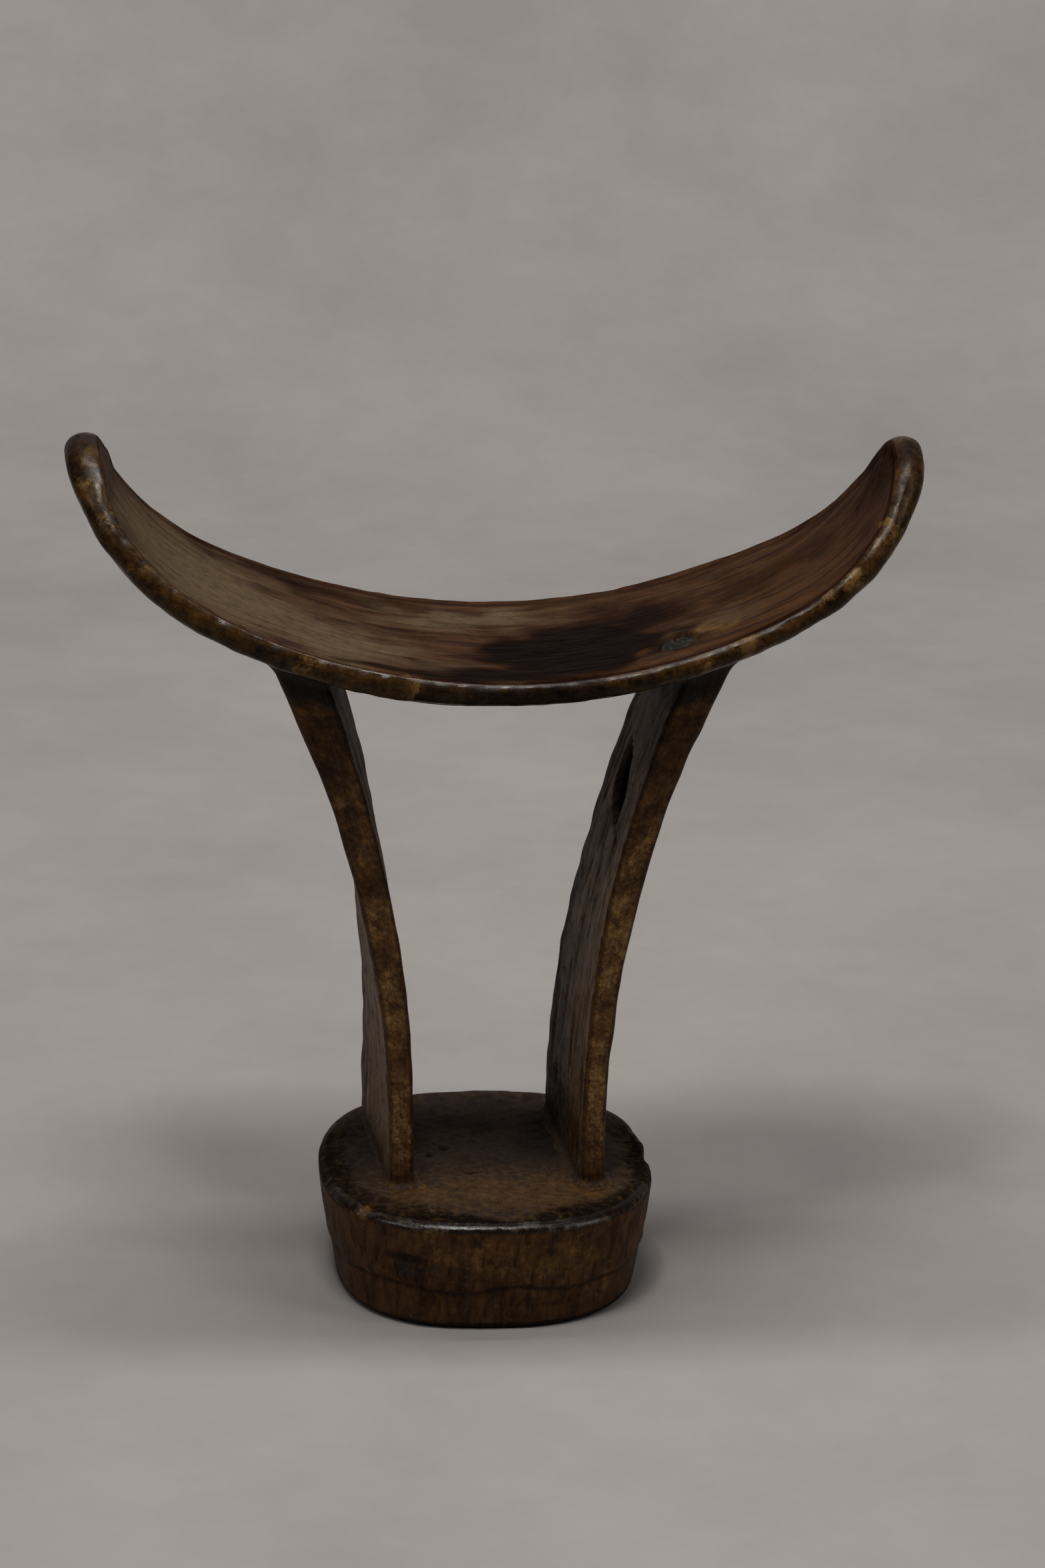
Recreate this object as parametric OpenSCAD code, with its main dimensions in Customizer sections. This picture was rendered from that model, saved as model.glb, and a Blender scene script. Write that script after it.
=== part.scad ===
// Carved wooden headrest: a crescent neck rest on two plate struts that rise
// from a short drum foot. Millimetres, +Z up, +X towards the right horn, +Y to the back.
// The origin is the centre of the foot's underside.

/* [Neck rest] */
// Width of the rest from horn tip to horn tip, along the seat's edge
rest_span = 180; // [140:1:230]
// Depth of the rest, front to back, at its middle
rest_depth = 66; // [54:1:90]
// Height of the seat's lowest point above the ground
seat_height = 144; // [110:1:190]
// Radius of the seat's middle stretch, seen from the front
seat_radius = 145; // [120:1:200]
// Angle from the middle at which the horns start to curl up more tightly
horn_start = 19; // [12:1:22]
// Slope of the horns at their tips, in degrees
horn_end = 63; // [52:1:72]
// Thickness of the rest in the middle of its underside
rest_thickness = 9; // [7:0.5:14]
// Thickness of the front and back rims
rim_thickness = 5; // [3:0.5:7]
// Thickness of the horns at their tips
tip_thickness = 5; // [3.5:0.5:8]
// How far the seat is hollowed between its front and back rims
seat_dish = 1.5; // [0.5:0.1:2.5]
// Distance of the rest's centre line behind the foot's centre
rest_back = 5; // [0:0.5:10]

/* [Struts] */
// Clear gap between the struts where they leave the foot
strut_gap = 34.5; // [26:0.5:44]
// Clear gap between the struts where they meet the rest
strut_top_gap = 72; // [56:1:88]
// Thickness of a strut at the foot
strut_thickness = 5.5; // [4:0.5:8]
// Thickness of a strut at the rest, measured level
strut_top_thickness = 9; // [6:0.5:13]
// Depth of a strut, front to back
strut_depth = 45; // [34:1:48]
// Distance of the struts' centre line behind the foot's centre
strut_back = 6.5; // [2:0.5:8]
// Height above the foot at which the struts begin to lean out
strut_straight = 16; // [8:1:30]
// Turn of both struts in plan, the carver's slight twist
strut_yaw = 4; // [0:0.5:6]

/* [Foot] */
// Diameter of the foot at its top edge
foot_top_d = 76; // [64:1:92]
// Diameter of the foot on the ground
foot_base_d = 68; // [58:1:84]
// Height of the foot
foot_height = 26.5; // [20:0.5:36]
// Rounding of the foot's top edge
foot_round = 4; // [2:0.5:6]
// Rounding of the foot's bottom edge
foot_base_round = 2; // [1:0.5:3]

/* [Knot and hollow] */
// Diameter of the dead knot in the seat
knot_d = 9; // [6:0.5:12]
// Depth of the knot's pocket below the seat
knot_depth = 5; // [3:0.5:6]
// How far the knot's face has shrunk below the seat
knot_sink = 0.4; // [0.2:0.1:1]
// Distance of the knot to the right of the middle
knot_x = 37; // [24:1:48]
// Distance of the knot in front of the rest's centre line
knot_front = 15; // [4:1:20]
// Width of the blind hollow in the right strut's inner face
hollow_width = 12; // [5:0.5:14]
// Length of that hollow
hollow_height = 22; // [14:1:26]
// Depth of that hollow
hollow_depth = 3.5; // [2:0.5:4]
// Lean of the hollow's long axis towards the back, in degrees
hollow_lean = 42; // [0:2:60]
// Height of the hollow's middle above the foot
hollow_rise = 85; // [70:1:94]
// Distance of the hollow behind the strut's centre line
hollow_back = 0; // [0:0.5:6]

/* [Hidden] */
$fn = 96;

// the rest's curve: one middle arc, then a tighter arc for each horn
seat_centre_z = seat_height + seat_radius;
horn_radius = (rest_span / 2 - seat_radius * sin(horn_start)) / (sin(horn_end) - sin(horn_start));
seat_bend_x = seat_radius * sin(horn_start);
under_radius = seat_radius + rest_thickness;
under_bend_x = under_radius * sin(horn_start);
taper = (rest_thickness - tip_thickness) / (1 - cos(horn_end - horn_start));
under_horn_radius = horn_radius + rest_thickness - taper;
rim_rise = rest_thickness - rim_thickness;
plan_half_x = rest_span / 2 + tip_thickness / 4;
plan_power_x = 3.7;
plan_power_y = 2.1;
plan_steps = 14;
section_steps = 6;

// the struts' curve
strut_foot_z = foot_height - foot_round / 2;
strut_bend_z = foot_height + strut_straight;
under_z = seat_height - rest_thickness;
strut_steps = 14;
inner_lean = (strut_top_gap - strut_gap) / 2;
outer_lean = inner_lean + strut_top_thickness - strut_thickness;
lean_height = under_z - strut_bend_z;
inner_radius = (lean_height * lean_height + inner_lean * inner_lean) / (2 * inner_lean);
outer_radius = (lean_height * lean_height + outer_lean * outer_lean) / (2 * outer_lean);
strut_end_z = seat_height + rest_thickness / 2;

// the hollow's cutter starts this far outside the curved face
hollow_mouth = 2;

// the foot swells a little up to a ridge at this share of its height
foot_ridge = 0.6;
ridge_swell = 0.5;
arc_steps = 8;

// distance that an arc of radius r has moved sideways after the height h
function lean(h, r) = h <= 0 ? 0 : r - sqrt(r * r - h * h);

// centre of a horn's arc: r is its radius, whole is the middle arc's radius
function horn_centre(r, whole) = [
    (whole - r) * sin(horn_start),
    seat_centre_z - (whole - r) * cos(horn_start)
];

// share of a full bulge at y, from 1 on the centre line to 0 at the rim
function bulge(y) = 1 - pow(2 * y / rest_depth, 2);

// one point of the boat-shaped plan, at angle a
function plan_point(a) = [
    sign(cos(a)) * plan_half_x * pow(abs(cos(a)), 2 / plan_power_x),
    sign(sin(a)) * rest_depth / 2 * pow(abs(sin(a)), 2 / plan_power_y)
];

// a full disc about the Y axis, r at its edge and r + crown on its centre line
module crowned_disc(r, crown) {
    half = rest_depth / 2;
    rotate([90, 0, 0])
        rotate_extrude()
            polygon(concat(
                [[0, -half]],
                [for (i = [-section_steps : section_steps])
                    let (y = half * i / section_steps)
                    [r + crown * bulge(y), y]],
                [[0, half]]
            ));
}

// all that lies above a surface made of the middle arc and the two horn arcs
module above_curve(r, horn_r, bend_x, crown, edge) {
    centre = horn_centre(horn_r, r);
    intersection() {
        translate([0, 0, seat_centre_z])
            crowned_disc(r - edge, crown);
        translate([-bend_x, -rest_depth, 0])
            cube([2 * bend_x, 2 * rest_depth, seat_centre_z]);
    }
    for (side = [-1, 1])
        intersection() {
            translate([side * centre[0], 0, centre[1]])
                crowned_disc(horn_r - edge, crown);
            translate([side > 0 ? bend_x : -bend_x - rest_span, -rest_depth, 0])
                cube([rest_span, 2 * rest_depth, seat_centre_z]);
        }
}

module seat_space() {
    above_curve(seat_radius, horn_radius, seat_bend_x, seat_dish, 0);
}

module underside_space() {
    above_curve(under_radius, under_horn_radius, under_bend_x, rim_rise, rim_rise);
}

// everything past a horn's squared-off tip
module past_tip() {
    centre = horn_centre(horn_radius, seat_radius);
    translate([centre[0], 0, centre[1]])
        rotate([0, 90 - horn_end, 0])
            translate([0, -rest_depth, 0])
                cube([rest_span, 2 * rest_depth, rest_span]);
}

// the rest before the knot's pocket is cut
module rest_blank() {
    translate([0, rest_back, 0])
        difference() {
            intersection() {
                underside_space();
                linear_extrude(seat_centre_z)
                    polygon([for (i = [0 : 4 * plan_steps - 1]) plan_point(90 * (i + 0.5) / plan_steps)]);
            }
            seat_space();
            past_tip();
            mirror([1, 0, 0]) past_tip();
        }
}

// a round peg square to the seat at the knot, from the pocket's floor up
module knot_peg(height) {
    dish = seat_dish * bulge(knot_front);
    translate([0, rest_back - knot_front, seat_centre_z])
        rotate([0, -asin(knot_x / seat_radius), 0])
            translate([0, 0, -seat_radius - dish - knot_depth])
                cylinder(d = knot_d, h = height);
}

// front outline of the right strut, before the foot and the rest trim its ends
module strut_outline() {
    inner_x = strut_gap / 2;
    outer_x = inner_x + strut_thickness;
    rise = strut_end_z - strut_bend_z;
    polygon(concat(
        [[inner_x, strut_foot_z]],
        [for (i = [0 : strut_steps])
            let (h = rise * i / strut_steps)
            [inner_x + lean(h, inner_radius), strut_bend_z + h]],
        [for (i = [strut_steps : -1 : 0])
            let (h = rise * i / strut_steps)
            [outer_x + lean(h, outer_radius), strut_bend_z + h]],
        [[outer_x, strut_foot_z]]
    ));
}

// turns a strut in plan about its own middle, and sets it back from the foot's centre
module in_strut_place(side) {
    middle_x = side * (strut_gap + strut_top_gap) / 4;
    translate([middle_x, strut_back, 0])
        rotate([0, 0, strut_yaw])
            translate([-middle_x, 0, 0])
                children();
}

// side is 1 for the right strut and -1 for the left one
module strut(side) {
    difference() {
        in_strut_place(side)
            mirror([side > 0 ? 0 : 1, 0, 0])
                rotate([90, 0, 0])
                    translate([0, 0, -strut_depth / 2])
                        linear_extrude(strut_depth) strut_outline();
        foot_body();
        translate([0, rest_back, 0]) underside_space();
    }
}

// the blind hollow, square to the inner face: two round ends and a straight stretch
module hollow_space() {
    face_h = hollow_rise - strut_straight;
    straight = hollow_height - hollow_width;
    in_strut_place(1)
        translate([strut_gap / 2 + lean(face_h, inner_radius), hollow_back, foot_height + hollow_rise])
            rotate([0, 90 + asin(face_h / inner_radius), 0])
                rotate([0, 0, -hollow_lean])
                    translate([0, 0, -hollow_mouth]) {
                        for (end = [-1, 1])
                            translate([end * straight / 2, 0, 0])
                                cylinder(d = hollow_width, h = hollow_mouth + hollow_depth);
                        translate([-straight / 2, -hollow_width / 2, 0])
                            cube([straight, hollow_width, hollow_mouth + hollow_depth]);
                    }
}

module foot_body() {
    top_r = foot_top_d / 2;
    base_r = foot_base_d / 2;
    ridge_z = foot_height * foot_ridge;
    ridge_r = base_r + (top_r - base_r) * foot_ridge + ridge_swell;
    rotate_extrude()
        polygon(concat(
            [[0, 0]],
            [for (i = [0 : arc_steps])
                let (a = 90 * i / arc_steps)
                [base_r - foot_base_round * (1 - sin(a)), foot_base_round * (1 - cos(a))]],
            [[ridge_r, ridge_z]],
            [for (i = [0 : arc_steps])
                let (a = 90 * i / arc_steps)
                [top_r - foot_round * (1 - cos(a)), foot_height - foot_round * (1 - sin(a))]],
            [[0, foot_height]]
        ));
}

module foot() {
    color("#4a3324") foot_body();
}

module left_strut() {
    color("#7a5326") strut(-1);
}

module right_strut() {
    color("#74502a")
        difference() {
            strut(1);
            hollow_space();
        }
}

module neck_rest() {
    color("#5b4028")
        difference() {
            rest_blank();
            knot_peg(knot_depth + rest_thickness);
        }
}

module rest_knot() {
    color("#3b362d") knot_peg(knot_depth - knot_sink);
}

foot();
left_strut();
right_strut();
neck_rest();
rest_knot();
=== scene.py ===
import math
from functools import partialmethod
import bmesh
import bpy
import numpy as np
from mathutils import Matrix, Vector


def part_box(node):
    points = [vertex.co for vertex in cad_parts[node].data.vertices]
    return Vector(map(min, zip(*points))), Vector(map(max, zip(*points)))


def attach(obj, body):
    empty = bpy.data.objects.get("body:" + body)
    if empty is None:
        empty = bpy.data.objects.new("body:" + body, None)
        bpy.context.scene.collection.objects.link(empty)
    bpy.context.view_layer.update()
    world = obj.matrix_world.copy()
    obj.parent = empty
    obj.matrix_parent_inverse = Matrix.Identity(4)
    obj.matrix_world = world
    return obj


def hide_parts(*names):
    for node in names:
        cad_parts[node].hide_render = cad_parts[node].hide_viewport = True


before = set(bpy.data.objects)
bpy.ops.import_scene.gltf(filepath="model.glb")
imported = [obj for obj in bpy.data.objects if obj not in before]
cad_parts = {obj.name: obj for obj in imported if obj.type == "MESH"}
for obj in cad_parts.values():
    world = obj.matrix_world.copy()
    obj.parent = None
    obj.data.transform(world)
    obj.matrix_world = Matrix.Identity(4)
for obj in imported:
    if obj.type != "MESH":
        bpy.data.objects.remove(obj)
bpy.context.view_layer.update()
mm = 0.001  # sizes below are in millimetres, and meshes are made in metres


def cadSpan(node):
    low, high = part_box(node)
    return np.array(low) / mm, np.array(high) / mm


restLow, restHigh = cadSpan("neck_rest")
footHigh = cadSpan("foot")[1]
knotLow, knotHigh = cadSpan("rest_knot")


# small helpers for numbers

def ease(value):
    value = np.clip(value, 0.0, 1.0)
    return value * value * (3 - 2 * value)


def bell(value):
    return np.exp(-value * value)


def between(low, high, share):
    return low + (high - low) * share


def ripple(points, size, seed, waves=16):
    # soft unevenness of about that size, between roughly -1 and 1
    dice = np.random.default_rng(seed)
    total = np.zeros(points.shape[:-1])
    for _ in range(waves):
        direction = dice.normal(size=3)
        direction /= np.linalg.norm(direction)
        pitch = 2 * math.pi / size * dice.uniform(0.6, 1.7)
        total += np.cos(points @ direction * pitch + dice.uniform(0, 2 * math.pi))
    return total / math.sqrt(waves)


def spotMask(points, spots, seed, wander=2.5):
    # soft spots with wandering borders; a spot is x, y, z, three radii and strength
    drift = np.stack([ripple(points, 14, seed + k) for k in range(3)], axis=-1)
    moved = points + wander * drift
    mask = np.zeros(points.shape[:-1])
    for *spot, strength in spots:
        reach = np.linalg.norm((moved - spot[:3]) / spot[3:], axis=-1)
        mask = np.maximum(mask, strength * bell(reach ** 1.5))
    return np.clip(mask, 0, 1)


# meshes

def coordinates(mesh, field="co"):
    found = np.zeros(len(mesh.vertices) * 3, np.float32)
    mesh.vertices.foreach_get(field, found)
    return found.reshape(-1, 3).astype(float)


def setPoints(mesh, points):
    mesh.vertices.foreach_set("co", (points * mm).astype(np.float32).ravel())
    mesh.update()


def values(mesh, name):
    attribute = mesh.attributes[name]
    vector = attribute.data_type == "FLOAT_VECTOR"
    found = np.zeros(len(mesh.vertices) * (3 if vector else 1), np.float32)
    attribute.data.foreach_get("vector" if vector else "value", found)
    return found.reshape(-1, 3).astype(float) if vector else found.astype(float)


def mark(mesh, name, field):
    vector = field.ndim == 2
    made = mesh.attributes.new(name, "FLOAT_VECTOR" if vector else "FLOAT", "POINT")
    made.data.foreach_set("vector" if vector else "value", field.astype(np.float32).ravel())


def markRings(mesh, masks, ends=(0, 0)):
    # masks over the rings of a ringMesh, then the values at its two poles
    for name, field in masks.items():
        mark(mesh, name, np.concatenate([field.ravel(), ends]))


def linked(name, mesh):
    piece = bpy.data.objects.new(name, mesh)
    bpy.context.scene.collection.objects.link(piece)
    return piece


def smoothShaded(mesh):
    mesh.polygons.foreach_set("use_smooth", np.ones(len(mesh.polygons), bool))
    mesh.update()


def ringMesh(name, rings, poles):
    # closed skin over rings of points (rows x columns x 3) with one pole vertex at each end
    rows, columns = rings.shape[:2]
    index = np.arange(rows * columns).reshape(rows, columns)
    beside = np.roll(index, -1, axis=1)
    quads = np.stack([index[:-1], beside[:-1], beside[1:], index[1:]], axis=-1).reshape(-1, 4)
    first, last = rows * columns, rows * columns + 1
    fans = [[first, int(b), int(a)] for a, b in zip(index[0], beside[0])]
    fans += [[last, int(a), int(b)] for a, b in zip(index[-1], beside[-1])]
    points = np.concatenate([rings.reshape(-1, 3), np.array(poles)]) * mm
    mesh = bpy.data.meshes.new(name)
    mesh.from_pydata(points.tolist(), [], quads.tolist() + fans)
    outward(mesh)
    return mesh


def outward(mesh):
    shell = bmesh.new()
    shell.from_mesh(mesh)
    bmesh.ops.recalc_face_normals(shell, faces=shell.faces)
    shell.to_mesh(mesh)
    shell.free()
    smoothShaded(mesh)


def markEdges(mesh, passes=3):
    # worn: how far a spot stands out; sunk: how far it lies in a hollow
    points = coordinates(mesh)
    normals = coordinates(mesh, "normal")
    pairs = np.zeros(len(mesh.edges) * 2, np.int32)
    mesh.edges.foreach_get("vertices", pairs)
    one, two = pairs.reshape(-1, 2).T
    step = points[two] - points[one]
    step /= np.linalg.norm(step, axis=1, keepdims=True) + 1e-12
    count = len(points)
    valence = np.bincount(one, minlength=count) + np.bincount(two, minlength=count)
    bend = np.bincount(one, -(step * normals[one]).sum(1), count)
    bend += np.bincount(two, (step * normals[two]).sum(1), count)
    bend /= np.maximum(valence, 1)
    for _ in range(passes):
        around = np.bincount(one, bend[two], count) + np.bincount(two, bend[one], count)
        bend = (bend + around / np.maximum(valence, 1)) / 2
    mark(mesh, "worn", np.clip(bend / 0.11, 0, 1))
    mark(mesh, "sunk", np.clip(-bend / 0.05, 0, 1))


# node building

class Field:
    # a value on a node wire; arithmetic on it adds Math nodes
    def __init__(self, tree, socket):
        self.tree = tree
        self.socket = socket

    def maths(self, operation, *others):
        made = self.tree.nodes.new("ShaderNodeMath")
        made.operation = operation
        for place, value in enumerate((self, *others)):
            feed(self.tree, value, made.inputs[place])
        return Field(self.tree, made.outputs[0])

    __add__ = partialmethod(maths, "ADD")
    __sub__ = partialmethod(maths, "SUBTRACT")
    __mul__ = partialmethod(maths, "MULTIPLY")
    __truediv__ = partialmethod(maths, "DIVIDE")

    def __rsub__(self, other):
        return self.maths("MULTIPLY_ADD", -1.0, other)

    def clamp(self):
        return self.maths("MAXIMUM", 0.0).maths("MINIMUM", 1.0)


def feed(tree, value, socket):
    if isinstance(value, Field):
        value = value.socket
    if isinstance(value, bpy.types.NodeSocket):
        tree.links.new(value, socket)
    else:
        socket.default_value = value


def addNode(tree, kind, inputs=None, out=0, **settings):
    made = tree.nodes.new(kind)
    for key, value in settings.items():
        setattr(made, key, value)
    for key, value in (inputs or {}).items():
        feed(tree, value, made.inputs[key])
    return Field(tree, made.outputs[out])


def newTree(name, kind, inputs, outputs):
    # each socket's kind: Geometry, Material, Vector, Int or Float
    tree = bpy.data.node_groups.new(name, kind)
    for way, sockets in (("INPUT", inputs), ("OUTPUT", outputs)):
        for label, socketKind in sockets.items():
            tree.interface.new_socket(name=label, in_out=way, socket_type="NodeSocket" + socketKind)
    entry = tree.nodes.new("NodeGroupInput")
    leave = tree.nodes.new("NodeGroupOutput")
    return tree, {socket.name: Field(tree, socket) for socket in entry.outputs}, leave


def noiseNode(tree, vector, scale, detail, **inputs):
    inputs = {"Vector": vector, "Scale": scale, "Detail": detail, **inputs}
    return addNode(tree, "ShaderNodeTexNoise", inputs, noise_dimensions="4D" if "W" in inputs else "3D")


def scaledVector(tree, vector, x, y, z):
    factors = addNode(tree, "ShaderNodeCombineXYZ", {0: x, 1: y, 2: z})
    return addNode(tree, "ShaderNodeVectorMath", {0: vector, 1: factors}, operation="MULTIPLY")


def delivered(tree, geometry, leave, **material):
    real = addNode(tree, "GeometryNodeRealizeInstances", {0: geometry})
    clad = addNode(tree, "GeometryNodeSetMaterial", {"Geometry": real, **material})
    feed(tree, clad, leave.inputs[0])
    return tree


def grown(piece, tree, settings):
    # runs a Geometry Nodes tree on a piece and keeps the result as its plain mesh
    modifier = piece.modifiers.new(tree.name, "NODES")
    modifier.node_group = tree
    for item in tree.interface.items_tree:
        if item.in_out == "INPUT" and item.name in settings:
            modifier[item.identifier] = settings[item.name]
    evaluated = piece.evaluated_get(bpy.context.evaluated_depsgraph_get())
    plain = bpy.data.meshes.new_from_object(evaluated)
    piece.modifiers.remove(modifier)
    piece.data = plain
    smoothShaded(plain)
    return plain


# Geometry Nodes: the hand-carved skin that every piece gets

def carvedSkinTree():
    numbers = ("Wobble Size", "Wobble Depth", "Facet Size", "Facet Depth", "Grain Size", "Grain Stretch",
               "Grain Depth", "Seed")
    tree, given, leave = newTree(
        "carvedSkin", "GeometryNodeTree",
        {"Geometry": "Geometry", **dict.fromkeys(numbers, "Float"), "Wood": "Material"},
        {"Geometry": "Geometry"})
    reader = "GeometryNodeInputNamedAttribute"
    wood = addNode(tree, reader, {"Name": "woodSpace"}, data_type="FLOAT_VECTOR")
    carve = addNode(tree, reader, {"Name": "carve"}, data_type="FLOAT")
    place = addNode(tree, "GeometryNodeInputPosition")
    broad = given["Wobble Size"].maths("POWER", -1.0)
    wobble = noiseNode(tree, place, broad, 1.0, W=given["Seed"])
    cut = given["Facet Size"].maths("POWER", -1.0)
    facet = addNode(tree, "ShaderNodeTexVoronoi",
                    {"Vector": scaledVector(tree, wood, cut * 0.45, cut, cut),
                     "W": given["Seed"], "Scale": 1.0, "Smoothness": 0.25},
                    voronoi_dimensions="4D", feature="SMOOTH_F1")
    fine = given["Grain Size"].maths("POWER", -1.0)
    drawnOut = scaledVector(tree, wood, fine / given["Grain Stretch"], fine, fine)
    grain = noiseNode(tree, drawnOut, 1.0, 3.0, W=given["Seed"])
    lift = (wobble - 0.5) * given["Wobble Depth"] * 2.0
    lift = lift + (facet - 0.5) * given["Facet Depth"]
    lift = lift + (grain - 0.5) * given["Grain Depth"] * 2.0
    lift = lift * carve
    normal = addNode(tree, "GeometryNodeInputNormal")
    offset = addNode(tree, "ShaderNodeVectorMath", {0: normal, "Scale": lift}, operation="SCALE")
    moved = addNode(tree, "GeometryNodeSetPosition", {"Geometry": given["Geometry"], "Offset": offset})
    return delivered(tree, moved, leave, Material=given["Wood"])


carvedSkin = carvedSkinTree()


# shader groups shared by the woods

def woodStreaksGroup():
    tree, given, leave = newTree(
        "woodStreaks", "ShaderNodeTree", {"Vector": "Vector", "Size": "Float", "Stretch": "Float"},
        dict.fromkeys(("Streaks", "Fibre", "Mottle", "Speck"), "Float"))
    fine = given["Size"].maths("POWER", -1.0)
    place = given["Vector"]
    drawnOut = scaledVector(tree, place, fine / given["Stretch"], fine, fine)
    streaks = noiseNode(tree, drawnOut, 1.0, 4.0, Roughness=0.6, Distortion=0.4)
    thin = scaledVector(tree, place, fine * 0.35, fine * 5.0, fine * 5.0)
    fibre = noiseNode(tree, thin, 1.0, 3.0, Roughness=0.65)
    mottle = noiseNode(tree, place, fine * 1.3, 5.0, Roughness=0.62)
    speck = noiseNode(tree, place, 330.0, 6.0, Roughness=0.85)
    feed(tree, ((speck - 0.38) * 3.6).clamp(), leave.inputs["Speck"])
    feed(tree, ((streaks - 0.32) * 2.6).clamp(), leave.inputs["Streaks"])
    feed(tree, ((fibre - 0.3) * 2.5).clamp(), leave.inputs["Fibre"])
    feed(tree, ((mottle - 0.32) * 2.7).clamp(), leave.inputs["Mottle"])
    return tree


def brokenMaskGroup():
    # a painted or worn mask whose border is eaten into by the grain
    tree, given, leave = newTree(
        "brokenMask", "ShaderNodeTree",
        dict.fromkeys(("Mask", "Noise", "Breakup", "Softness"), "Float"), {"Mask": "Float"})
    bitten = given["Mask"] + (given["Noise"] - 0.5) * given["Breakup"]
    ramp = ((bitten - 0.5 + given["Softness"]) / (given["Softness"] * 2.0)).clamp()
    feed(tree, ramp * ramp * (3.0 - ramp * 2.0), leave.inputs["Mask"])
    return tree


woodStreaks = woodStreaksGroup()
brokenMask = brokenMaskGroup()


def attribute(tree, name):
    return addNode(tree, "ShaderNodeAttribute", out=1 if name == "woodSpace" else 2, attribute_name=name)


def mixed(tree, factor, one, two, blend="MIX"):
    made = tree.nodes.new("ShaderNodeMix")
    made.data_type = "RGBA"
    made.blend_type = blend
    feed(tree, factor, made.inputs[0])
    for value, place in ((one, 6), (two, 7)):
        feed(tree, (*value, 1.0) if isinstance(value, tuple) else value, made.inputs[place])
    return Field(tree, made.outputs[2])


def groupNode(tree, group, inputs):
    made = tree.nodes.new("ShaderNodeGroup")
    made.node_tree = group
    for key, value in inputs.items():
        feed(tree, value, made.inputs[key])
    return {socket.name: Field(tree, socket) for socket in made.outputs}


def thousandths(colour):
    return tuple(part / 1000 for part in colour)


def woodMaterial(name, look):
    # the colours in a look are in thousandths
    material = bpy.data.materials.new(name)
    material.use_nodes = True
    tree = material.node_tree
    shader = tree.nodes["Principled BSDF"]
    wood = attribute(tree, "woodSpace")
    grain = groupNode(tree, woodStreaks,
                      {"Vector": wood, "Size": look["streakSize"], "Stretch": look["stretch"]})
    patch = groupNode(tree, woodStreaks,
                      {"Vector": wood, "Size": look["streakSize"] * 2.7, "Stretch": look["stretch"] * 0.5})
    dark, light, deep = (thousandths(look[key]) for key in ("dark", "light", "deep"))
    colour = mixed(tree, grain["Streaks"], dark, light)
    colour = mixed(tree, patch["Mottle"] * look["mottle"], colour, deep)
    rough = grain["Mottle"] * look["roughSpread"] + look["rough"]
    shine = grain["Mottle"] * 0.05 + look["specular"]
    for layer in look["layers"]:
        mask = groupNode(tree, brokenMask, {
            "Mask": attribute(tree, layer["mask"]), "Noise": grain[layer["noise"]],
            "Breakup": layer["breakup"], "Softness": layer["softness"]})["Mask"]
        inner = mixed(tree, grain[layer["inner"]], layer["from"], layer["to"])
        colour = mixed(tree, mask * layer["strength"], colour, inner)
        rough = rough + mask * layer["rough"]
        shine = shine + mask * layer["shine"]
    # darkens spots that lie in a hollow: part dirt, part painted shade in place of occlusion
    colour = mixed(tree, attribute(tree, "sunk") * look["hollowDirtAndShade"], colour, deep)
    shade = grain["Fibre"] * 0.35 + 0.8
    grey = addNode(tree, "ShaderNodeCombineXYZ", {0: shade, 1: shade, 2: shade})
    colour = mixed(tree, 1.0, colour, grey, "MULTIPLY")
    feed(tree, colour, shader.inputs["Base Color"])
    feed(tree, rough.clamp(), shader.inputs["Roughness"])
    feed(tree, shine.clamp(), shader.inputs["Specular IOR Level"])
    height = grain["Fibre"] * 0.5 + grain["Mottle"] * 0.5 + patch["Streaks"] * 0.4
    height = (height + grain["Speck"] * 0.25) * (1.0 - attribute(tree, "calm"))
    bump = addNode(tree, "ShaderNodeBump",
                   {"Height": height, "Strength": look["bump"], "Distance": 0.0003})
    feed(tree, bump, shader.inputs["Normal"])
    return material


def layer(mask, low, high, inner="Fibre", noise="Streaks", breakup=0.8, softness=0.5, strength=1.0,
          rough=0.0, shine=0.0):
    return {"mask": mask, "from": thousandths(low), "to": thousandths(high), "inner": inner,
            "noise": noise, "breakup": breakup, "softness": softness, "strength": strength,
            "rough": rough, "shine": shine}


def speckled(mask, low, high, **more):
    return layer(mask, low, high, inner="Speck", noise="Mottle", **more)


# carving marks made straight on a mesh

def dented(mesh, dents, seed):
    # a dent is x, y, z, three radii, depth and power; a power above 2 gives it steep walls
    points = coordinates(mesh) / mm
    normals = coordinates(mesh, "normal")
    wander = np.stack([ripple(points, 4, seed + k) for k in range(3)], axis=-1) * 0.25
    drop = np.zeros(len(points))
    for *spot, depth, power in dents:
        reach = np.linalg.norm((points + wander - spot[:3]) / spot[3:], axis=1)
        drop += depth * np.exp(-reach ** power)
    setPoints(mesh, points - normals * drop[:, None])


def uneven(mesh, waves, share):
    # waves are size, depth and seed; share says how much of it each point gets
    points = coordinates(mesh) / mm
    lift = sum(depth * ripple(points, size, seed) for size, depth, seed in waves) * share
    setPoints(mesh, points + coordinates(mesh, "normal") * lift[:, None])


def finished(node, mesh, skin, material, masks):
    # masks are made from the piece's points in millimetres
    name = node + "_wood"
    points = coordinates(mesh) / mm
    for label, spots in masks.items():
        mark(mesh, label, spotMask(points, spots, seed=len(label) * 7))
    piece = linked(name, mesh)
    plain = grown(piece, carvedSkin, {**skin, "Wood": material})
    plain.name = name
    markEdges(plain)
    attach(piece, "root")
    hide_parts(node)
    print("made", name, len(plain.vertices), "points")
    return piece


# the neck rest: a curved board with horns, swept along its own seat line

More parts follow.
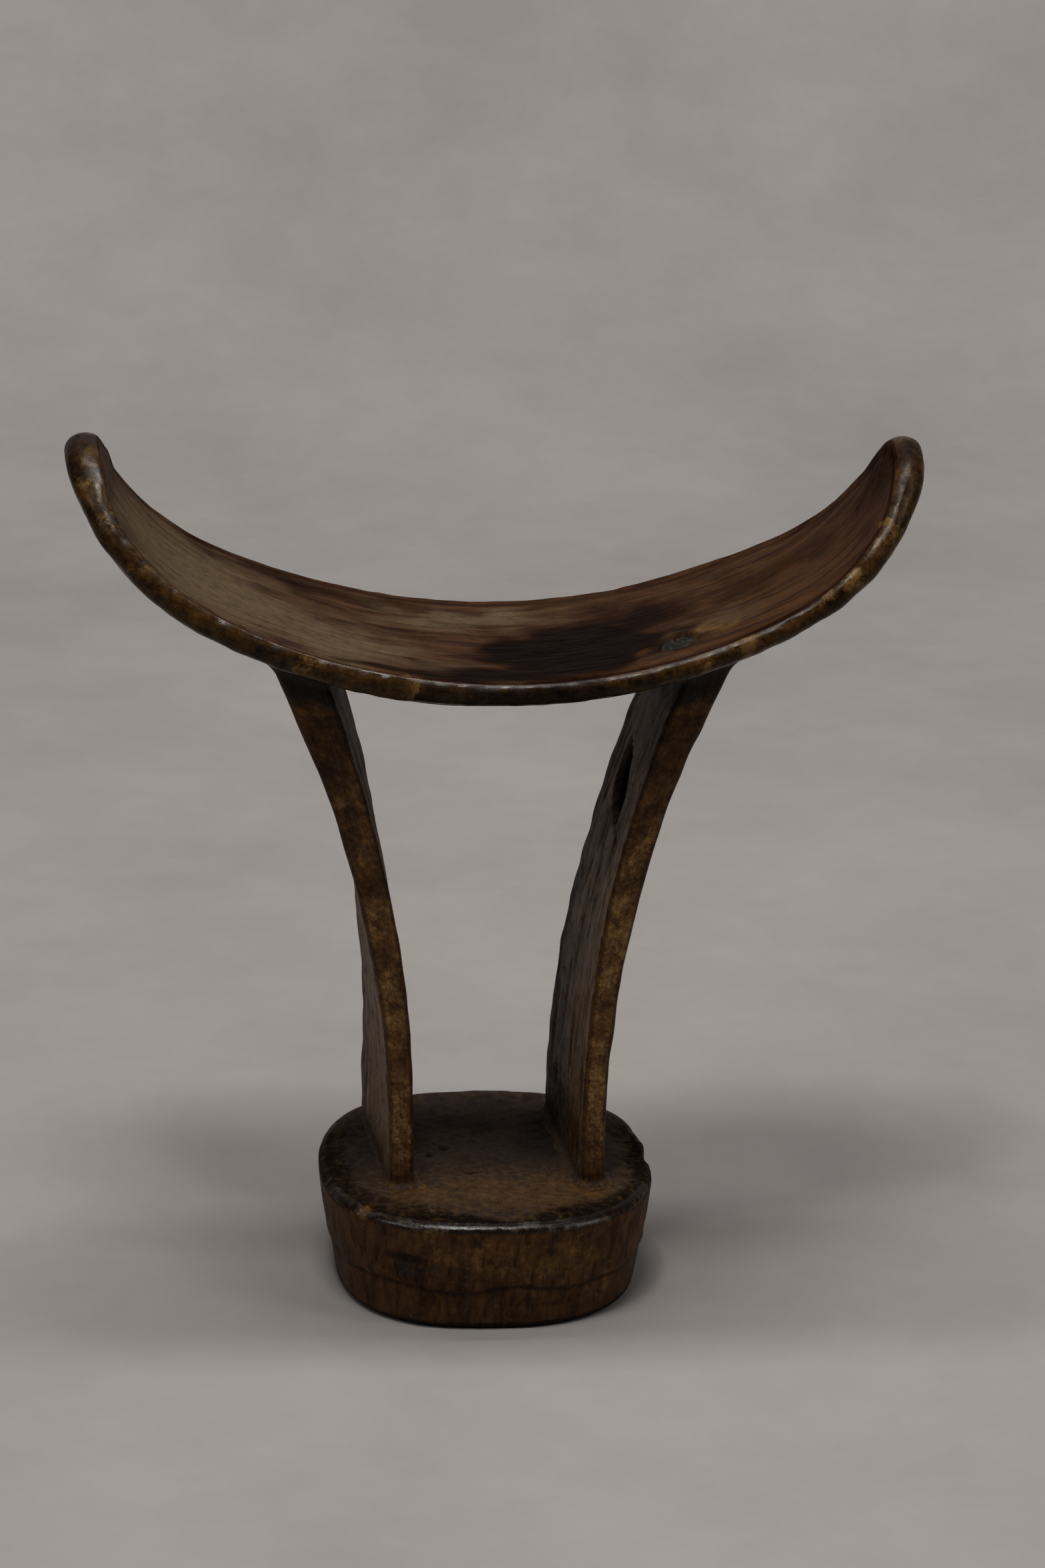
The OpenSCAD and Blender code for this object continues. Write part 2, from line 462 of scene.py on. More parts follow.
restShape = {
    "halfLength": 104.9,  # along the seat line, from the middle to a horn's tip
    "halfDepth": 34.0,
    "planPower": 3.1,  # how square the outline is before the horns round off
    "seatRadius": 137.0,
    "hornRadius": {-1: 46.0, 1: 39.5},  # left and right
    "hornStart": {-1: math.radians(27.1), 1: math.radians(28.6)},  # slope where the horn begins
    "bendEase": 25.0,  # length over which the two bends run together
    "middleThick": 9.0,
    "tipThick": 6.4,
    "tipLump": {-1: 1.1, 1: 0.4},  # the horns' tips thicken on the seat's side
    "rimThick": (4.5, 3.6),
    "dish": 1.5,
    "rimRound": 2.2,
    "tipRound": 3.6,
    "roundPower": 2.3,
    "lipIn": 1.25,  # the raised lip's distance from the rim
    "lipRise": 0.4,
    "lipWide": 0.9,
    "grooveIn": (3.0, 4.4),  # at the left horn and at the right
    "grooveDrop": 0.35,
    "slant": 0.002,  # the left horn stands a little higher
    "raise": 0.95,  # the worn seat lies a touch above and forward of the plain board
    "forward": 0.6,
    "stations": 396,
    "around": 240,
}
restMiddleY = (restLow[1] + restHigh[1]) / 2 - restShape["forward"]
restSeatZ = restLow[2] + restShape["middleThick"] + restShape["raise"]
knotMiddle = (knotLow + knotHigh) / 2
knotPocket = {"radius": 4.7, "oval": 1.3, "wall": 0.5, "depth": 2.2}


def seatTable(shape, side):
    along = np.linspace(0, shape["halfLength"] + 1, 3000)
    step = along[1]
    hornAt = shape["seatRadius"] * shape["hornStart"][side]
    turn = ease((along - hornAt) / shape["bendEase"] + 0.5)
    bend = between(1 / shape["seatRadius"], 1 / shape["hornRadius"][side], turn)
    angle = np.cumsum(bend) * step - bend[0] * step
    return along, np.cumsum(np.cos(angle)) * step - step, np.cumsum(np.sin(angle)) * step, angle


seatTables = {side: seatTable(restShape, side) for side in (-1, 1)}


def seatFrame(along):
    # x, z and slope of the seat line at a signed distance from its middle
    distance = np.abs(along)
    side = np.sign(along)
    tables = seatTables.items()
    x, rise, slope = (sum(np.where(side == k, np.interp(distance, table[0], table[column]), 0)
                          for k, table in tables) for column in (1, 2, 3))
    x = side * x
    return x, restSeatZ + rise - restShape["slant"] * x, side * slope


knotAlong = float(np.interp(knotMiddle[0], seatTables[1][1], seatTables[1][0]))


def grooveAt(along):
    return between(*restShape["grooveIn"], ease(along / restShape["halfLength"] + 0.5))


def fromKnot(along, y):
    return np.hypot(along - knotAlong, (y + restMiddleY - knotMiddle[1]) / knotPocket["oval"])


def restHeights(along, across):
    # distance in from the rim, and the heights of seat and underside from the seat line
    shape = restShape
    length, power = shape["halfLength"], shape["planPower"]
    share = np.minimum(np.abs(along) / length, 1.0)
    half2 = shape["halfDepth"] ** 2 * (1 - share ** power)
    fall = shape["halfDepth"] ** 2 * power * share ** (power - 1) / length
    y = np.sqrt(half2) * across
    inset = half2 * (1 - across ** 2) / np.sqrt(fall ** 2 + 4 * y ** 2 + 1e-6)
    tip = share ** 1.6
    middle = between(shape["middleThick"], shape["tipThick"], tip)
    rim = between(*shape["rimThick"], ease(along / length + 0.5))
    rim = between(rim, shape["tipThick"], share ** 8)
    front = np.where(across < 0, 1.0, 0.55)
    top = -shape["dish"] * (1 - across ** 2) * (1 - tip)
    lump = np.where(along < 0, shape["tipLump"][-1], shape["tipLump"][1])
    top = top + lump * ease((share - 0.87) / 0.06)
    top = top + front * shape["lipRise"] * bell((inset - shape["lipIn"]) / shape["lipWide"])
    top = top - front * shape["grooveDrop"] * bell((inset - grooveAt(along)) / 1.2)
    inPocket = ease((knotPocket["radius"] - fromKnot(along, y)) / knotPocket["wall"])
    top = top - knotPocket["depth"] * inPocket
    bottom = -between(rim, middle, 1 - np.abs(across) ** 2.4)
    return inset, top, bottom, y


def restPoint(along, y, height):
    x, z, slope = seatFrame(along)
    return np.stack([x - np.sin(slope) * height, restMiddleY + y, z + np.cos(slope) * height], axis=-1)


def underside(x, y):
    # z of the rest's underside above a spot, found by walking along the seat line
    half = restShape["halfDepth"]
    along = x * 1.0
    for _ in range(8):
        across = np.clip((y - restMiddleY) / half, -0.98, 0.98)
        bottom = restHeights(along, across)[2]
        lineX, lineZ, slope = seatFrame(along)
        along = along + (x - (lineX - np.sin(slope) * bottom))
    return lineZ + np.cos(slope) * bottom


def restMesh():
    shape = restShape
    length = shape["halfLength"]
    dense = np.linspace(-1, 1, 20001) * length
    half = shape["halfDepth"] * np.sqrt(1 - (np.abs(dense) / length) ** shape["planPower"])
    outline = np.concatenate([[0], np.cumsum(np.hypot(np.diff(dense), np.diff(half)))])
    spots = np.linspace(0, outline[-1], shape["stations"] + 2)[1:-1]
    along = np.interp(spots, outline, dense)[:, None]
    turn = np.linspace(0, 2 * math.pi, shape["around"], endpoint=False)[None, :]
    across = -np.cos(turn)
    inset, top, bottom, y = restHeights(along, across)
    tipShare = (np.abs(along) / length) ** 12
    bend = between(shape["rimRound"], shape["tipRound"], tipShare)
    full = 1 - np.minimum(inset / bend, 1.0)
    rounding = (1 - full ** shape["roundPower"]) ** (1 / shape["roundPower"])
    side = np.where(turn < math.pi, 1.0, -1.0)
    height = (top + bottom) / 2 + side * (top - bottom) / 2 * rounding
    rings = restPoint(along + 0 * turn, y, height)
    ends = np.array([-length, length])
    poles = restPoint(ends, ends * 0, ends * 0 - shape["tipThick"] / 2)
    mesh = ringMesh("neck_rest_wood", rings, poles)
    wood = np.stack([along + 0 * turn, y, height], axis=-1).reshape(-1, 3)
    mark(mesh, "woodSpace", np.concatenate([wood, [[ends[0], 0, -2], [ends[1], 0, -2]]]) * mm)
    reach = np.where(side > 0, shape["lipIn"] + 0.6, 5.0)
    rimFace = ease(reach - inset) * np.where(across < 0, 1.0, 0.8)
    markRings(mesh, {"rimFace": rimFace, "calm": rimFace * 0.7}, (1, 0.7))
    lipLine = bell((inset - 0.9) / 0.9) * (side > 0) * (across < 0)
    lipLine = lipLine * (1 - 0.8 * ease((along + 8) / 30)) * (1 - 0.8 * tipShare)
    groove = bell((inset - grooveAt(along)) / 1.4) * (side > 0) * np.where(across < 0, 1.0, 0.4)
    # below marks the rest's underside, which gets painted shade and a rougher finish
    below = (side < 0) * ease((inset - 3) / 3)
    markRings(mesh, {"lipLine": lipLine, "groove": groove, "below": below})
    carve = ease((fromKnot(along, y) - knotPocket["radius"]) / 3 + 0.1) * (1 - 0.45 * rimFace)
    markRings(mesh, {"carve": carve}, (0.55, 0.55))
    return mesh


restStains = {
    "khaki": [(-58, 2, 165, 30, 32, 26, 1.0), (-36, -8, 149, 18, 20, 14, 0.95),
        (-14, -14, 145, 10, 7, 10, 0.5), (-6, 24, 147, 22, 9, 12, 0.85), (50, -6, 153, 14, 9, 12, 0.6),
        (66, 0, 170, 12, 10, 14, 0.5)],
    "rust": [(66, -6, 168, 24, 24, 24, 0.8), (50, -18, 154, 14, 8, 12, 0.9),
        (20, -22, 146, 14, 4, 8, 0.8), (-22, -22, 146, 10, 5, 8, 0.6)],
    "soot": [(17, -2, 144, 17, 18, 12, 2.4), (-2, -20, 144, 24, 7, 12, 1.0),
        (-26, -20, 146, 9, 4, 8, 0.75), (-40, 30, 152, 36, 5, 16, 0.6), (64, -22, 162, 20, 3, 14, 0.55),
        (32, 14, 147, 16, 12, 8, 0.8), (62, 12, 160, 24, 8, 12, 0.45), (84, 10, 182, 14, 16, 14, 0.5),
        (38.5, -8, 147, 6, 9, 6, 0.8)],
    "ochre": [(46, -8, 151, 9, 6, 9, 0.65), (31, -11, 147, 2.6, 3, 4, 1.0)],
    "rimSoot": [(8, -29, 143, 24, 6, 8, 1.0), (-14, -29, 143, 6, 6, 6, 0.8),
        (-50, -28, 153, 8, 6, 6, 0.5), (-80, -18, 180, 5, 8, 6, 0.6), (84, -16, 182, 4, 6, 5, 0.7),
        (-91, -4, 190, 7, 18, 7, 1.3), (90, -4, 190, 6, 14, 4, 0.9)],
    "rimGold": [(40, -28, 145, 3.0, 4, 4, 0.9), (-22, -28, 144, 1.8, 3, 3, 0.8),
        (-72, -24, 171, 2.8, 5, 3, 0.9), (66, -25, 162, 4, 5, 4, 0.85), (73, -23, 169, 5, 5, 5, 0.9),
        (80, -18, 178, 4, 6, 6, 0.95), (-88, -12, 185, 4, 6, 2.5, 0.9), (-84, -16, 180, 2, 6, 3, 0.5),
        (-40, -29, 149, 10, 4, 4, 0.6), (52, -28, 151, 6, 4, 4, 0.65)],
}
restDents = [
    (-22.5, -27.5, 144.5, 2, 2.2, 1.6, 1, 3), (-19, -27.8, 143.6, 1.2, 1.2, 1, 0.6, 2),
    (-73.5, -24.5, 172.5, 2.6, 4, 2.6, 0.7, 3), (-60, -27, 160, 3, 2, 1.6, 0.3, 2),
    (62, -27, 161, 7, 1.6, 4, 0.55, 2), (74, -24, 172, 3, 2, 4, 0.5, 2), (86, -14, 190, 2, 3, 5, 0.5, 2),
    (8, -28, 142, 5, 2, 1.4, 0.35, 2), (-46, -28, 150, 4, 1.8, 1.6, 0.35, 2),
    (30, 37, 146, 6, 3, 3, 0.5, 2), (-5, 38, 143, 3, 2, 2, 0.4, 2), (-62, 30, 163, 4, 2, 3, 0.5, 2),
]
restLook = {
    "streakSize": 0.0030, "stretch": 6.0, "mottle": 0.5, "rough": 0.42, "roughSpread": 0.2,
    "specular": 0.03, "bump": 0.4, "hollowDirtAndShade": 0.7,
    "dark": (34, 13, 7), "light": (118, 60, 27), "deep": (14, 7, 5),
    "layers": [
        layer("khaki", (86, 60, 36), (150, 111, 67), inner="Mottle", breakup=0.6, rough=0.08),
        layer("rust", (34, 12, 5), (98, 43, 16), inner="Streaks", softness=0.4, strength=0.8),
        speckled("ochre", (100, 48, 14), (220, 120, 38), breakup=0.7, softness=0.3, strength=0.7),
        layer("soot", (8, 5.5, 5), (26, 18, 16), breakup=0.25, shine=-0.1),
        layer("groove", (12, 4, 2), (40, 12, 5), breakup=0.4, softness=0.4, strength=0.9),
        layer("rimFace", (16, 7.5, 3), (115, 62, 17), inner="Speck", breakup=0.5, softness=0.25,
            strength=0.94, rough=-0.24, shine=0.14),
        layer("lipLine", (20, 9, 4), (70, 36, 12), breakup=0.3, softness=0.4, strength=0.4, rough=-0.08,
            shine=0.3),
        speckled("rimSoot", (9, 5, 3.5), (34, 18, 10), softness=0.45, strength=0.92, rough=0.1,
            shine=-0.08),
        layer("rimGold", (100, 52, 14), (340, 210, 80), inner="Speck", noise="Speck", breakup=0.7,
            softness=0.2, strength=0.45),
        # painted shade on the rest's underside
        layer("below", (16, 9, 6), (40, 23, 13), breakup=0.4, softness=0.3, rough=0.15),
    ],
}
restWood = woodMaterial("rest_wood", restLook)
restSkin = {"Wobble Size": 0.026, "Wobble Depth": 0.00045, "Facet Size": 0.013, "Facet Depth": 0.00022,
            "Grain Size": 0.0016, "Grain Stretch": 14.0, "Grain Depth": 0.00008, "Seed": 3.0}
restSkinMesh = restMesh()
uneven(restSkinMesh, [(5, 0.05, 51), (12, 0.12, 52)], values(restSkinMesh, "rimFace"))
dented(restSkinMesh, restDents, seed=11)
finished("neck_rest", restSkinMesh, restSkin, restWood, restStains)


# the knot: a small cracked disc of dead wood let into the seat

knotShape = {"radius": 4.3, "oval": 1.3, "rise": 0.6, "sink": 0.55, "rings": 26, "around": 96, "edge": 0.5}


def knotMesh():
    shape = knotShape
    turn = np.linspace(0, 2 * math.pi, shape["around"], endpoint=False)[None, :]
    share = np.linspace(0, 1, shape["rings"] + 2)[1:-1, None]
    outline = shape["radius"] * (1 + 0.03 * np.cos(2 * turn + 1) + 0.02 * np.cos(5 * turn))
    cracks = bell(np.sin(turn * 1.5 + 0.6 * share) / 0.16) * ease(share * 3) * 0.35
    rings = 0.12 * np.cos(share * 17)
    dome = shape["rise"] * (1 - share ** 2) - cracks - rings * (1 - share)
    edge = ease((1 - share) / 0.16)
    base = restHeights(np.array(0.0), np.array(0.0))[1] - shape["sink"]
    topHeight = base + dome * edge - (1 - edge) * shape["edge"]
    bottomHeight = -knotPocket["depth"] - restShape["dish"] + 0.2
    x = outline * share * np.cos(turn)
    middle = np.array(knotAlong), knotMiddle[1] - restMiddleY
    y = outline * share * np.sin(turn) * shape["oval"] + middle[1]
    topRings = restPoint(knotAlong + x, y, topHeight + 0 * turn)
    lowRings = restPoint(knotAlong + x[::-1], y[::-1], bottomHeight + 0 * x)
    poles = [restPoint(*middle, base + shape["rise"]), restPoint(*middle, bottomHeight)]
    mesh = ringMesh("rest_knot_wood", np.concatenate([topRings, lowRings]), poles)
    points = coordinates(mesh)
    mark(mesh, "woodSpace", points[:, [2, 0, 1]])
    mark(mesh, "carve", np.ones(len(points)))
    return mesh


knotLook = {
    "streakSize": 0.0015, "stretch": 1.5, "mottle": 0.7, "rough": 0.5, "roughSpread": 0.2,
    "specular": 0.12, "bump": 0.7, "hollowDirtAndShade": 0.9,
    "dark": (20, 19, 15), "light": (62, 58, 44), "deep": (8, 7, 6),
    "layers": [layer("worn", (40, 30, 20), (90, 70, 45), noise="Mottle", softness=0.3)],
}
knotWood = woodMaterial("knot_wood", knotLook)
knotSkin = {"Wobble Size": 0.003, "Wobble Depth": 0.0001, "Facet Size": 0.002, "Facet Depth": 0.00012,
            "Grain Size": 0.0008, "Grain Stretch": 1.0, "Grain Depth": 0.00005, "Seed": 8.0}
finished("rest_knot", knotMesh(), knotSkin, knotWood, {})


# the foot, grown by a Geometry Nodes tree: a squarish plan swept over a rounded side profile

footShape = {"Top Width": 74.4, "Base Width": 67.2, "Height": 26.5, "Top Round": 3.0, "Base Round": 1.8,
             "Bulge": 0.3, "Squareness": 2.5, "Depth Share": 1.05, "Around": 400, "Along": 200}
footMiddle = (-0.2, 1.0, 0.0)
footDetail = {"creaseAt": 10.0, "creaseDrop": 0.2, "step": 0.45, "bowl": 0.9, "bowlReach": 26.0,
              "arcPitch": 3.4, "arcDepth": 0.05, "rimHalf": (37.2, 39.0)}


def footTree():
    tree, given, leave = newTree(
        "footForm", "GeometryNodeTree",
        {**dict.fromkeys(footShape, "Float"), "Around": "Int", "Along": "Int"}, {"Geometry": "Geometry"})
    around = given["Around"] + 1.0
    along = given["Along"] + 1.0
    grid = addNode(tree, "GeometryNodeMeshGrid",
                   {"Size X": 1.0, "Size Y": 1.0, "Vertices X": around, "Vertices Y": along})
    place = addNode(tree, "GeometryNodeInputPosition")
    parts = tree.nodes.new("ShaderNodeSeparateXYZ")
    feed(tree, place, parts.inputs[0])
    turn = (Field(tree, parts.outputs[0]) + 0.5) * (2 * math.pi)
    # the sharp profile first: underside, side, top, shared out as 1.2 : 1 : 1.4
    run = (Field(tree, parts.outputs[1]) + 0.5) * 3.6 - 1.2
    rise = run.clamp()
    onBase = (run + 1.2) / 1.2
    onTop = (2.4 - run) / 1.4
    inward = onBase.maths("MINIMUM", onTop).maths("MINIMUM", 1.0).maths("MAXIMUM", 0.0)
    halfBase = given["Base Width"] * 0.5
    halfTop = given["Top Width"] * 0.5
    half = between(halfBase, halfTop, rise) + rise * (1.0 - rise) * 4.0 * given["Bulge"]
    upper = run.maths("GREATER_THAN", 0.5)
    bend = between(given["Base Round"], given["Top Round"], upper)
    # then both edges turn over an arc: each face gives it half of the quarter turn
    fromEdge = (1.0 - inward) * half
    fromEnd = (0.5 - (rise - 0.5).maths("ABSOLUTE")) * given["Height"]
    faceShare = (1.0 - fromEdge / bend).clamp()
    sideShare = (1.0 - fromEnd / bend).clamp()
    flat = fromEnd.maths("LESS_THAN", 0.00001)
    swing = flat * faceShare * (math.pi / 4) + (1.0 - flat) * (math.pi / 2 - sideShare * (math.pi / 4))
    sideways = swing.maths("SINE")
    upright = swing.maths("COSINE")
    near = flat * faceShare.maths("GREATER_THAN", 0.0)
    near = near + (1.0 - flat) * sideShare.maths("GREATER_THAN", 0.0)
    arcRadius = half - bend + bend * sideways
    radius = near * arcRadius + (1.0 - near) * inward * half
    drop = near * bend * (1.0 - upright) + (1.0 - near) * fromEnd
    height = upper * (given["Height"] - drop) + (1.0 - upper) * drop
    # the plan: a circle pushed towards a square
    cosine = turn.maths("COSINE").maths("ABSOLUTE").maths("POWER", given["Squareness"])
    sine = turn.maths("SINE").maths("ABSOLUTE").maths("POWER", given["Squareness"])
    swell = (cosine + sine).maths("POWER", given["Squareness"].maths("POWER", -1.0) * -1.0)
    reach = radius * swell
    back = reach * turn.maths("SINE") * given["Depth Share"]
    spot = addNode(tree, "ShaderNodeCombineXYZ", {0: reach * turn.maths("COSINE"), 1: back, 2: height})
    moved = addNode(tree, "GeometryNodeSetPosition", {"Geometry": grid, "Position": spot})
    closed = addNode(tree, "GeometryNodeMergeByDistance", {"Geometry": moved, "Distance": 0.00001})
    return delivered(tree, closed, leave)


def footReach(x, y):
    # 1 on the rim of the foot's top, 0 in its middle
    wide, deep = footDetail["rimHalf"]
    power = footShape["Squareness"]
    return (np.abs(x / wide) ** power + np.abs((y - footMiddle[1]) / deep) ** power) ** (1 / power)


def footMesh():
    plain = ("Around", "Along", "Squareness", "Depth Share")
    settings = {name: value if name in plain else value * mm for name, value in footShape.items()}
    blank = linked("foot_wood", bpy.data.meshes.new("blank"))
    mesh = grown(blank, footTree(), settings)
    bpy.data.objects.remove(blank)
    outward(mesh)
    points = coordinates(mesh) / mm + footMiddle
    normals = coordinates(mesh, "normal")
    detail = footDetail
    x, y, z = points.T
    radius = np.hypot(x, y)
    onSide = ease((1 - np.abs(normals[:, 2])) * 2.2 - 0.5)
    onTop = ease((normals[:, 2] - 0.8) * 8) * (z > 20)
    wave = ripple(points * [1, 1, 0], 22, 31)
    crease = detail["creaseAt"] + 0.5 * wave
    lift = onSide * detail["step"] * (ease((z - crease) / 1.6) - 0.5)
    lift = lift - onSide * detail["creaseDrop"] * bell((z - crease + 0.3) / 0.7)
    bowl = detail["bowl"] * bell(radius / detail["bowlReach"])
    # shallow sweeps of the gouge over the top
    sweep = np.hypot(x - 12, y + 30 + 3 * ripple(points, 30, 32))
    arcs = np.abs(np.sin(math.pi * sweep / detail["arcPitch"])) ** 0.7 * detail["arcDepth"]
    hewn = 0.06 * ripple(points, 5, 33) + 0.13 * ripple(points, 11, 34)
    lift = lift - onTop * (bowl + arcs + hewn)
    # fine upright scores down the side
    turn = np.arctan2(y, x)
    scores = np.zeros(len(points))
    dice = np.random.default_rng(77)
    for _ in range(150):
        at = dice.uniform(-math.pi, math.pi)
        middle = dice.uniform(3, 24)
        length = dice.uniform(2.5, 9)
        wide = dice.uniform(0.25, 0.55) / 36
        gap = np.angle(np.exp(1j * (turn - at - 0.02 * (z - middle) / length)))
        scores += dice.uniform(0.06, 0.22) * bell(gap / wide) * bell((z - middle) / length)
    lift = lift - onSide * np.minimum(scores, 0.4)
    points = points + normals * lift[:, None]
    points[:, 2] = np.maximum(points[:, 2], 0)
    setPoints(mesh, points)
    mark(mesh, "woodSpace", points[:, [2, 0, 1]] * mm)
    mark(mesh, "topFace", onTop)
    slope = normals[:, 2]
    rimTop = ease((slope - 0.1) / 0.25) * ease((0.97 - slope) / 0.08) * (z > 20)
    rimTop = rimTop * (1 - 0.8 * ease((y + 24) / 14))
    mark(mesh, "rimTop", rimTop)
    mark(mesh, "calm", rimTop * 0.75)
    mark(mesh, "carve", ease((points[:, 2] - 0.2) / 1.5) * (1 - 0.6 * rimTop))
    band = ease((footReach(x, y) - 0.74 - 0.04 * wave) / 0.2) * ease((z - 23.5) / 1.5)
    mark(mesh, "rimBand", band * (1 - 0.9 * ease((y - 4) / 20)))
    mark(mesh, "base", ease((2.4 - z) / 1.6))
    return mesh


footStains = {
    "khaki": [(6, -20, 26, 22, 12, 5, 1.0), (20, -18, 26, 9, 9, 5, 0.9), (-14, -22, 26, 10, 7, 5, 0.8)],
    # on the foot's top, the spots at the back and around the struts' bases are painted shadow; the others
    # are dark stains
    "soot": [(8, 28, 26, 36, 10, 6, 0.35), (-28, 6, 26, 10, 22, 6, 0.7), (14, 8, 26, 9, 12, 5, 1.0),
        (-19, -33, 17, 6, 6, 1.6, 1.0), (10, -37, 15, 9, 8, 2.4, 0.6), (-33, -14, 14, 5, 9, 8, 0.3)],
    "ochre": [(-27.5, -26, 23, 3.2, 4, 3, 1.0), (-12, -34, 20, 5, 5, 5, 0.65),
        (14, -36, 16, 18, 8, 5, 0.65), (-4, -37, 17, 9, 8, 5, 0.6), (24, -32, 8, 10, 8, 5, 0.5),
        (-16, -17, 26, 4, 4, 3, 0.9), (22, -19, 26, 4, 4, 3, 0.95)],
}
footDents = [
    (-27.3, -26.5, 25, 2.6, 2.6, 2.4, 1, 3), (-19, -33.5, 17, 4.2, 4, 1.1, 0.8, 2.5),
    (37, 2, 24, 4, 5, 3, 0.9, 3), (36.5, -9, 14.5, 3, 5, 2, 1.1, 4), (35, -14, 7, 3, 3, 4, 0.7, 3),
    (-36.5, -8, 19, 3, 4, 3, 0.9, 3), (-34.5, -14, 9, 3, 5, 4, 0.8, 2.5),
    (-9, 6, 26, 1.1, 0.9, 2, 0.8, 2), (-4, -7, 26, 1.4, 0.8, 2, 0.7, 2),
    (-13, 2, 26, 0.7, 0.7, 2, 0.6, 2), (14, 33, 25, 5, 3, 3, 0.7, 3), (-20, 30, 20, 5, 4, 6, 0.8, 2.5),
    (12, -35, 6, 7, 4, 1.4, 0.35, 2), (33, 12, 26, 4, 6, 2.5, 0.8, 3), (8, 35.5, 12, 6, 4, 4, 0.6, 2.5),
    (30, -24, 20, 3, 3, 3, 0.4, 2),
]
footLook = {
    "streakSize": 0.0022, "stretch": 4.0, "mottle": 0.5, "rough": 0.40, "roughSpread": 0.2,
    "specular": 0.12, "bump": 0.45, "hollowDirtAndShade": 0.7,
    "dark": (36, 13, 5), "light": (170, 86, 32), "deep": (17, 9, 6),
    "layers": [
        layer("topFace", (44, 30, 23), (118, 76, 51), inner="Mottle", breakup=0.3, softness=0.3,
            rough=0.08, shine=-0.06),
        speckled("khaki", (74, 42, 20), (176, 109, 53)),
        # dark stains, with painted shadow on the top at the back and around the struts
        speckled("soot", (16, 12, 10), (60, 46, 37), strength=0.85),
        layer("rimBand", (6, 4.5, 4), (26, 18, 13), inner="Speck", breakup=0.6, strength=0.85, rough=0.15,
            shine=-0.12),
        layer("rimTop", (6, 4, 3), (26, 15, 9), noise="Mottle", breakup=0.4, softness=0.4, strength=0.7,
            rough=-0.38, shine=0.5),
        speckled("ochre", (90, 46, 14), (240, 140, 48), breakup=1.0, strength=0.9),
        layer("base", (4, 3, 2.5), (14, 8, 5), noise="Mottle", breakup=0.5, softness=0.3, strength=0.85),
    ],
}
footWood = woodMaterial("foot_wood", footLook)
footSkin = {"Wobble Size": 0.022, "Wobble Depth": 0.0005, "Facet Size": 0.008, "Facet Depth": 0.0003,
            "Grain Size": 0.0014, "Grain Stretch": 8.0, "Grain Depth": 0.00011, "Seed": 5.0}
footSkinMesh = footMesh()
dented(footSkinMesh, footDents, seed=21)
finished("foot", footSkinMesh, footSkin, footWood, footStains)


# the two struts: flat boards that rise from the foot, lean outwards and flare into the rest

strutShape = {
    "topAt": 135.0,
    "depth": 45.0,
    "twist": (math.radians(5.6), math.radians(-0.6)),  # the boards' turn about upright, low and high
    "corner": 1.3,
    "footFlare": 1.9,
    "restFlare": 2.4,
    "dive": 1.4,  # how far each end runs on into its neighbour
    "rows": 206,
    "flareRows": 12,
    "outline": (68, 12, 7),  # points along a face, along an edge, round a corner
}
strutSides = {
    # inner face from the middle, outward sway at the top, height and power of the bend, thicknesses
    "left": {"side": -1, "inner": 19.2, "sway": 14.9, "bendAt": 41.0, "bendPower": 2.2,
             "thick": 5.6, "topThick": 9.4, "seed": 41},
    "right": {"side": 1, "inner": 17.7, "sway": 18.8, "bendAt": 33.0, "bendPower": 2.1,
              "thick": 5.3, "topThick": 8.3, "seed": 42},
}
strutLow, strutHigh = cadSpan("left_strut")
strutMiddleY = (strutLow[1] + strutHigh[1]) / 2


def strutOutline(counts):
    # corner signs and outward directions round a rounded rectangle
    face, edge, corner = counts
    rows = []
    signs = [(1, -1), (1, 1), (-1, 1), (-1, -1)]
    for k, (cx, cy) in enumerate(signs):
        start = (k - 1) * math.pi / 2
        end = start + math.pi / 2
        for angle in np.linspace(start, end, corner):
            rows.append((cx, cy, math.cos(angle), math.sin(angle)))
        nx, ny = signs[(k + 1) % 4]
        straight = face if cx == nx else edge
        for share in np.linspace(0, 1, straight + 2)[1:-1]:
            rows.append((between(cx, nx, share), between(cy, ny, share), math.cos(end), math.sin(end)))
    return np.array(rows).T


